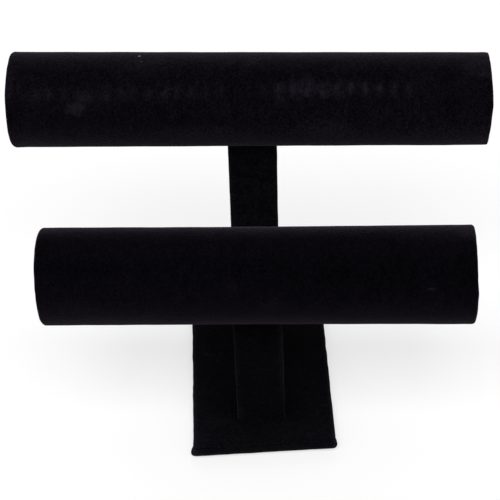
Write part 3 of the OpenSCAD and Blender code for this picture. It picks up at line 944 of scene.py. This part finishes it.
def bar_cover(name, node, bar, finish):
    """Velvet round a card tube, lapped along the back and turned into both ends over a soft rim."""
    path = np.concatenate([end_path(bar, -1)[:0:-1], end_path(bar, 1)])
    lap = math.degrees(LAP["width"] / BAR_R)
    start = LAP["angle"] - lap / 2
    round_it = along_cloth((0, lap + 1, 8), (lap + 1, 354, 150), (354, 360, 8), (360, 360 + lap, 7))
    angle = np.radians(start + round_it)[:, None]
    over = (smooth(*LAP["rise"], round_it) * (VELVET + GLUE))[:, None]
    x, r, way_x, way_r, back_x, back_r = [column[None, :] for column in path.T]
    spots = np.stack(np.broadcast_arrays(x, r * np.sin(angle), -r * np.cos(angle)), -1)
    outside = smooth(TURNED_R + 0.5, BAR_R - 0.3, r)
    half = bar["length"] / 2
    left, right = bar["swell"]
    swell = np.interp(x, [-half, 0, half], [left, 0, right]) * outside
    near_end = smooth(half - RIM_REACH, half, np.abs(x))
    proud = over + swell + uneven(spots, "bar") + near_end * uneven(spots, "rim")
    round_rim = np.degrees(angle) + RIM_START - 180
    stray = [np.interp(round_rim, list(rim), list(rim.values()), period=360) for rim in bar["rim"]]
    along = x + way_x * proud + np.where(x < 0, *stray) * near_end
    along, radius = clear_of_card(half - CARD_SHORT, along, r + way_r * proud)
    face = on_bar(bar, along, radius, angle)
    back = on_bar(bar, back_x + way_x * over + 0 * angle, back_r + way_r * over, angle)
    piece = cloth(name, face, back, finish)
    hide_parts(node)
    long = (bar["length"] + ENDS_LENGTH) * MM


def disc_cover(name, node, bar, side, finish):
    """Velvet drawn over a card disc and gathered onto its back, plugged into the end of a tube."""
    outer, edge = DISC["outer"], DISC["edge"]
    front, rear = -DISC["recess"], -DISC["recess"] - DISC["depth"]
    path = [(front, r) for r in along_cloth((0.0, outer - edge, 22))]
    for a in np.linspace(0, math.pi / 2, 7)[1:]:
        path.append((front - edge * (1 - math.cos(a)), outer - edge * (1 - math.sin(a))))
    path += [(x, outer) for x in np.linspace(front - edge, rear + VELVET, 4)[1:]]
    for a in np.linspace(0, math.pi / 2, 5)[1:]:
        path.append((rear + VELVET * (1 - math.sin(a)), outer - VELVET * (1 - math.cos(a))))
    path += [(rear, r) for r in np.linspace(outer - VELVET, outer - DISC["hem"], 6)[1:]]
    path = np.array(path)
    x, r = path[None, :, 0], path[None, :, 1]
    angle = np.radians(np.arange(0, 360, 3.0))[:, None]
    spots = np.stack(np.broadcast_arrays(x, r * np.sin(angle), -r * np.cos(angle)), -1)
    crown = DISC["crown"] * (1 - (r / outer) ** 2)
    pull = DISC["pull"] * np.cos(angle * DISC["pulls"]) * smooth(DISC["pulls_from"], outer, r)
    behind = smooth(outer, outer - DISC["gather_reach"], r)
    gather = DISC["gather"] * np.abs(np.sin(angle * DISC["gathers"])) * behind
    half = bar["length"] / 2
    face_x = x + np.where(x == front, crown + pull + uneven(spots, "end"), 0) - np.where(x == rear, gather, 0)
    held_x = np.clip(x, rear + VELVET - GLUE, front - VELVET + GLUE) + 0 * angle
    held_r = np.minimum(r, DISC["card"] + GLUE) + 0 * angle
    face = on_bar(bar, side * (half + face_x), r + 0 * angle, angle)
    back = on_bar(bar, side * (half + held_x), held_r, angle)
    piece = cloth(name, face, back, finish, ring=True, pole=True)
    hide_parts(node)


base_cover(velvet("base", BLUE, base_marks))
base_liner(felt("liner_felt"))
plain_velvet = velvet("end", PURPLE)
bar_marks = {"lower": lower_bar_marks, "upper": upper_bar_marks}
for tier, bar in BARS.items():
    stand = bar["post"]
    sleeve = velvet(stand + "_post", BLUE, post_marks(POSTS[stand]))
    post_sleeve(stand + "_post_velvet", stand + "_post_cover", POSTS[stand], bar, sleeve)
    wrap = velvet(tier + "_bar", PURPLE, bar_marks[tier], bar)
    bar_cover(tier + "_bar_velvet", tier + "_tube_cover", bar, wrap)
    for side, hand in ((-1, "left"), (1, "right")):
        end = tier + "_" + hand
        disc_cover(end + "_end_velvet", end + "_disc_cover", bar, side, plain_velvet)

# The rigid pieces inside keep their construction and get their own finish
inside = [
    (fibreboard("bare_fibreboard"), ["base_board"]),
    (softwood("planed_pine"), ["front_post", "rear_post"]),
    (card("lower_card", BARS["lower"]), ["lower_tube"]),
    (card("upper_card", BARS["upper"]), ["upper_tube"]),
    (card("disc_card"), [tier + "_" + hand + "_disc" for tier in BARS for hand in ("left", "right")]),
    (zinc_plate("zinc_plate"), [
        "front_post_screws", "rear_post_screws", "lower_bar_screws", "upper_bar_screws", "lower_bar_washers",
        "upper_bar_washers",
    ]),
]
for finish, nodes in inside:
    for node in nodes:
        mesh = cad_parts[node].data
        mesh.materials.clear()
        mesh.materials.append(finish)


# Studio, in metres: each lamp's place, the spot it is aimed at, its width and height, and its watts
SOFTBOXES = {
    "front_softbox": ((-0.1, -0.75, 1.3), (0.0, 0.0, 0.1), (1.2, 0.6), 12.6),
    "rear_softbox": ((0.0, 0.9, 0.9), (0.0, 0.0, 0.1), (1.5, 0.7), 4.2),
}
ROOM_GLOW = 0.58


def floor():
    """Paper that lies just under the stand."""
    reach, under = 4.0, -0.0003
    mesh = bpy.data.meshes.new("paper_floor")
    corners = [(-reach, -reach, under), (reach, -reach, under), (reach, reach, under), (-reach, reach, under)]
    mesh.from_pydata(corners, [], [(0, 1, 2, 3)])
    mesh.materials.append(pale_floor("white_paper"))
    sweep = bpy.data.objects.new("paper_floor", mesh)
    bpy.context.scene.collection.objects.link(sweep)


def softbox(name, place, aim, size, watts):
    lamp = bpy.data.lights.new(name, "AREA")
    lamp.shape = "RECTANGLE"
    lamp.size, lamp.size_y = size
    lamp.energy = watts
    box = bpy.data.objects.new(name, lamp)
    box.location = place
    box.rotation_mode = "QUATERNION"
    box.rotation_quaternion = (Vector(aim) - Vector(place)).to_track_quat("-Z", "Y")
    bpy.context.scene.collection.objects.link(box)


def white_room(glow):
    """Even light from all round, shown as white where the camera looks past the floor."""
    world = bpy.data.worlds.new("white_room")
    bpy.context.scene.world = world
    room = Finish("white_room", world)
    seen = room.add("ShaderNodeLightPath", out="Is Camera Ray")
    air = room.add("ShaderNodeBackground", sockets={"Strength": seen * (1.0 - glow) + glow})
    room.show(air, "ShaderNodeOutputWorld")


def camera():
    """The photograph's view: above the stand and in front of it, a little rolled."""
    elevation, azimuth, roll = math.radians(38.02), math.radians(-0.23), math.radians(-2.62)
    focus, frame_size, sensor = 1621.8, 500, 36.0
    seen_at = [(pixel - frame_size / 2) / focus for pixel in (255.6, 254.7)]
    target = Vector((0.0, -0.0059, 0.1088))
    distance = 1.0386
    back = Vector((math.sin(azimuth) * math.cos(elevation), -math.cos(azimuth) * math.cos(elevation),
                   math.sin(elevation)))
    level = Vector((math.cos(azimuth), math.sin(azimuth), 0))
    upright = back.cross(level)
    right = level * math.cos(roll) + upright * math.sin(roll)
    up = upright * math.cos(roll) - level * math.sin(roll)
    lens = bpy.data.cameras.new("studio_camera")
    lens.sensor_width = sensor
    lens.lens = sensor * focus / frame_size
    lens.clip_start, lens.clip_end = 0.05, 20.0
    view = bpy.data.objects.new("studio_camera", lens)
    place = target - (right * seen_at[0] - up * seen_at[1] - back) * distance
    view.matrix_world = Matrix.Translation(place) @ Matrix((right, up, back)).transposed().to_4x4()
    bpy.context.scene.collection.objects.link(view)
    bpy.context.scene.camera = view


floor()
for name, box in SOFTBOXES.items():
    softbox(name, *box)
white_room(ROOM_GLOW)
camera()
bpy.context.scene.view_settings.view_transform = "Standard"
